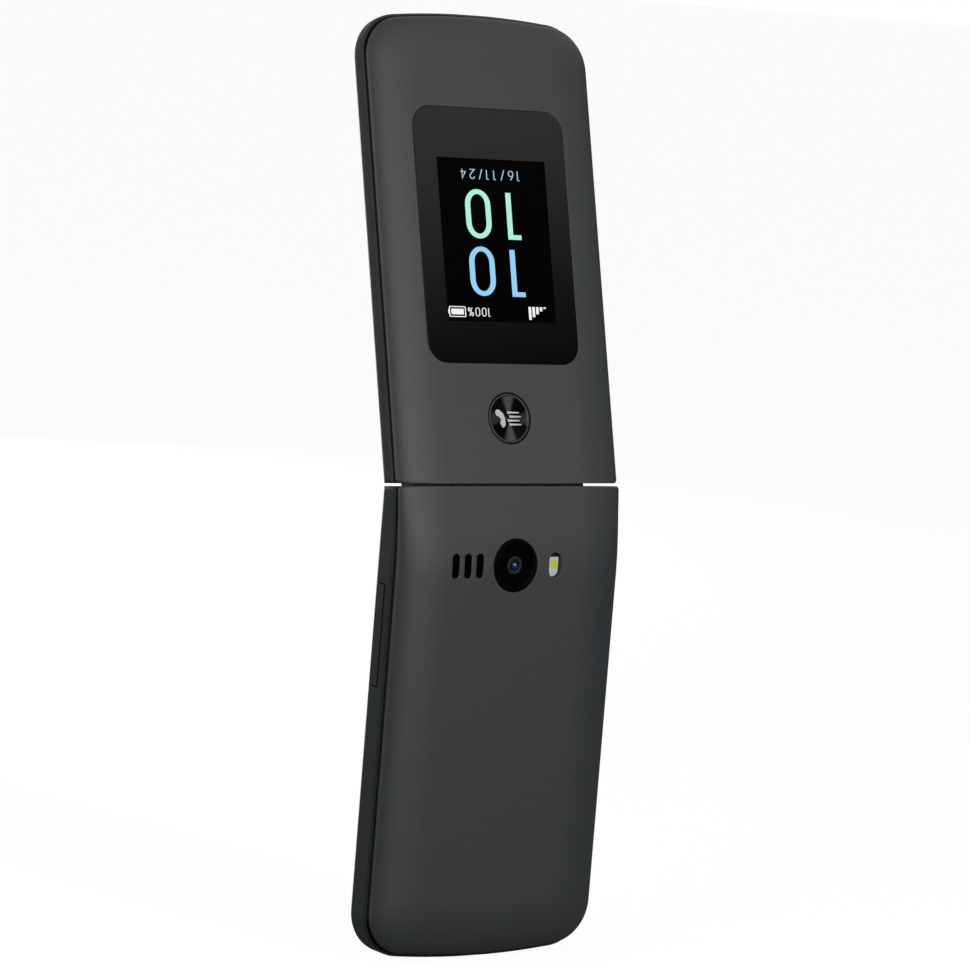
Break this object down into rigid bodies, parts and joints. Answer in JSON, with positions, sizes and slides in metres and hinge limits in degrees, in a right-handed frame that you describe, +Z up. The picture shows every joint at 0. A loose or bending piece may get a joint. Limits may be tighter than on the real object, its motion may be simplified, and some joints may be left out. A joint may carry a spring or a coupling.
{
  "type": "flip phone",
  "caption": "Clamshell phone with an outer screen, held open at 165 degrees: friction-hinged lid, sprung keys, rocking direction ring and volume key, lift-off battery cover.",
  "frame": {"origin": "centre of the charging socket's mouth, in the middle of the base's bottom end", "axes": "+Z up along the base to the hinge, X across the width, -Y out of the base's back; the lid stands above the base and leans 15 degrees to +Y"},
  "size_m": [0.0581, 0.0361, 0.1989],
  "materials": {
    "cover_plastic": "fine matt moulded ABS with a faint mottle",
    "frame_plastic": "dark satin moulded polycarbonate",
    "inner_plastic": "black moulded polycarbonate, as moulded",
    "window_acrylic": "polished black-printed acrylic",
    "display_glass": "laminated display glass",
    "key_plastic": "satin moulded keys with pale figures",
    "chromed_plastic": "dark chromed plastic",
    "spun_aluminium": "dark anodised, spun in fine circles",
    "elastomer": "silicone rubber",
    "circuit_board": "solder mask over copper",
    "flex_circuit": "amber polyimide film",
    "stamped_steel": "nickel-plated stamped sheet",
    "hinge_steel": "turned steel",
    "chassis_alloy": "pressed sheet",
    "battery_can": "printed film over a pouch in a frame",
    "gold_contact": "gold-plated springs",
    "flash_phosphor": "yellow phosphor",
    "flash_lens_clear": "clear moulded lens"
  },
  "bodies": {
    "base": {"keypad_housing": "frame_plastic", "rear_housing": "inner_plastic", "main_board": "circuit_board", "shield_can": "stamped_steel", "dome_sheet": "stamped_steel", "battery": "battery_can", "battery_contacts": "gold_contact", "camera_module": "inner_plastic", "camera_ring": "frame_plastic", "camera_window": "window_acrylic", "flash_led": "flash_phosphor", "flash_lens": "flash_lens_clear", "loudspeaker": "stamped_steel", "speaker_mesh": "stamped_steel", "usb_socket": "stamped_steel", "headset_socket": "inner_plastic", "sim_holder": "stamped_steel", "vibration_motor": "stamped_steel", "volume_switches": "circuit_board", "base_screws": "hinge_steel", "hinge_cam": "hinge_steel"},
    "lid": {"lid_inner_housing": "frame_plastic", "lid_outer_cover": "cover_plastic", "lid_chassis": "chassis_alloy", "inner_glass": "window_acrylic", "inner_display": "display_glass", "earpiece": "stamped_steel", "earpiece_mesh": "stamped_steel", "outer_window": "window_acrylic", "outer_display": "display_glass", "lid_board": "circuit_board", "lid_bumpers": "elastomer", "hinge_cartridge": "hinge_steel", "hinge_bush": "hinge_steel", "hinge_flex": "flex_circuit", "lid_screws": "hinge_steel"},
    "battery_cover": {"battery_cover": "cover_plastic"},
    "volume_key": {"volume_key": "key_plastic"},
    "quick_key": {"quick_key": "spun_aluminium"},
    "nav_actuator": {"nav_actuator": "elastomer"},
    "nav_ring": {"nav_ring": "chromed_plastic"},
    "key_ok": {"key_ok": "chromed_plastic"},
    "key_soft_left": {"key_soft_left": "key_plastic"},
    "key_soft_right": {"key_soft_right": "key_plastic"},
    "key_call": {"key_call": "key_plastic"},
    "key_end": {"key_end": "key_plastic"},
    "key_clear": {"key_clear": "key_plastic"},
    "key_1": {"key_1": "key_plastic"},
    "key_2": {"key_2": "key_plastic"},
    "key_3": {"key_3": "key_plastic"},
    "key_4": {"key_4": "key_plastic"},
    "key_5": {"key_5": "key_plastic"},
    "key_6": {"key_6": "key_plastic"},
    "key_7": {"key_7": "key_plastic"},
    "key_8": {"key_8": "key_plastic"},
    "key_9": {"key_9": "key_plastic"},
    "key_star": {"key_star": "key_plastic"},
    "key_0": {"key_0": "key_plastic"},
    "key_hash": {"key_hash": "key_plastic"}
  },
  "joints": [
    {"name": "lid_hinge", "type": "hinge", "parent": "base", "child": "lid", "pos_m": [0, 0.00325, 0.1007], "axis": [-1, 0, 0], "range_deg": [0, 165]},
    {"name": "battery_cover_slide", "type": "slide", "parent": "base", "child": "battery_cover", "axis": [0, -1, 0], "range_m": [0, 0.015]},
    {"name": "volume_rock", "type": "hinge", "parent": "base", "child": "volume_key", "pos_m": [-0.02725, 0.00115, 0.0695], "axis": [0, 1, 0], "range_deg": [-1.5, 1.5], "stiffness_Nm_per_rad": 0.4},
    {"name": "quick_key_press", "type": "slide", "parent": "lid", "child": "quick_key", "axis": [0, 0.9659, -0.2588], "range_m": [0, 0.0003], "stiffness_N_per_m": 3000},
    {"name": "nav_up_down", "type": "hinge", "parent": "base", "child": "nav_actuator", "pos_m": [0, 0.00095, 0.0747], "axis": [1, 0, 0], "range_deg": [-1, 1], "stiffness_Nm_per_rad": 0.6},
    {"name": "nav_left_right", "type": "hinge", "parent": "nav_actuator", "child": "nav_ring", "pos_m": [0, 0.00095, 0.0747], "axis": [0, 0, 1], "range_deg": [-1, 1], "stiffness_Nm_per_rad": 0.6},
    {"name": "key_ok_press", "type": "slide", "parent": "base", "child": "key_ok", "axis": [0, -1, 0], "range_m": [0, 0.0003], "stiffness_N_per_m": 3000},
    {"name": "key_soft_left_press", "type": "slide", "parent": "base", "child": "key_soft_left", "axis": [0, -1, 0], "range_m": [0, 0.0003], "stiffness_N_per_m": 3000},
    {"name": "key_soft_right_press", "type": "slide", "parent": "base", "child": "key_soft_right", "axis": [0, -1, 0], "range_m": [0, 0.0003], "stiffness_N_per_m": 3000},
    {"name": "key_call_press", "type": "slide", "parent": "base", "child": "key_call", "axis": [0, -1, 0], "range_m": [0, 0.0003], "stiffness_N_per_m": 3000},
    {"name": "key_end_press", "type": "slide", "parent": "base", "child": "key_end", "axis": [0, -1, 0], "range_m": [0, 0.0003], "stiffness_N_per_m": 3000},
    {"name": "key_clear_press", "type": "slide", "parent": "base", "child": "key_clear", "axis": [0, -1, 0], "range_m": [0, 0.0003], "stiffness_N_per_m": 3000},
    {"name": "key_1_press", "type": "slide", "parent": "base", "child": "key_1", "axis": [0, -1, 0], "range_m": [0, 0.0003], "stiffness_N_per_m": 3000},
    {"name": "key_2_press", "type": "slide", "parent": "base", "child": "key_2", "axis": [0, -1, 0], "range_m": [0, 0.0003], "stiffness_N_per_m": 3000},
    {"name": "key_3_press", "type": "slide", "parent": "base", "child": "key_3", "axis": [0, -1, 0], "range_m": [0, 0.0003], "stiffness_N_per_m": 3000},
    {"name": "key_4_press", "type": "slide", "parent": "base", "child": "key_4", "axis": [0, -1, 0], "range_m": [0, 0.0003], "stiffness_N_per_m": 3000},
    {"name": "key_5_press", "type": "slide", "parent": "base", "child": "key_5", "axis": [0, -1, 0], "range_m": [0, 0.0003], "stiffness_N_per_m": 3000},
    {"name": "key_6_press", "type": "slide", "parent": "base", "child": "key_6", "axis": [0, -1, 0], "range_m": [0, 0.0003], "stiffness_N_per_m": 3000},
    {"name": "key_7_press", "type": "slide", "parent": "base", "child": "key_7", "axis": [0, -1, 0], "range_m": [0, 0.0003], "stiffness_N_per_m": 3000},
    {"name": "key_8_press", "type": "slide", "parent": "base", "child": "key_8", "axis": [0, -1, 0], "range_m": [0, 0.0003], "stiffness_N_per_m": 3000},
    {"name": "key_9_press", "type": "slide", "parent": "base", "child": "key_9", "axis": [0, -1, 0], "range_m": [0, 0.0003], "stiffness_N_per_m": 3000},
    {"name": "key_star_press", "type": "slide", "parent": "base", "child": "key_star", "axis": [0, -1, 0], "range_m": [0, 0.0003], "stiffness_N_per_m": 3000},
    {"name": "key_0_press", "type": "slide", "parent": "base", "child": "key_0", "axis": [0, -1, 0], "range_m": [0, 0.0003], "stiffness_N_per_m": 3000},
    {"name": "key_hash_press", "type": "slide", "parent": "base", "child": "key_hash", "axis": [0, -1, 0], "range_m": [0, 0.0003], "stiffness_N_per_m": 3000}
  ]
}
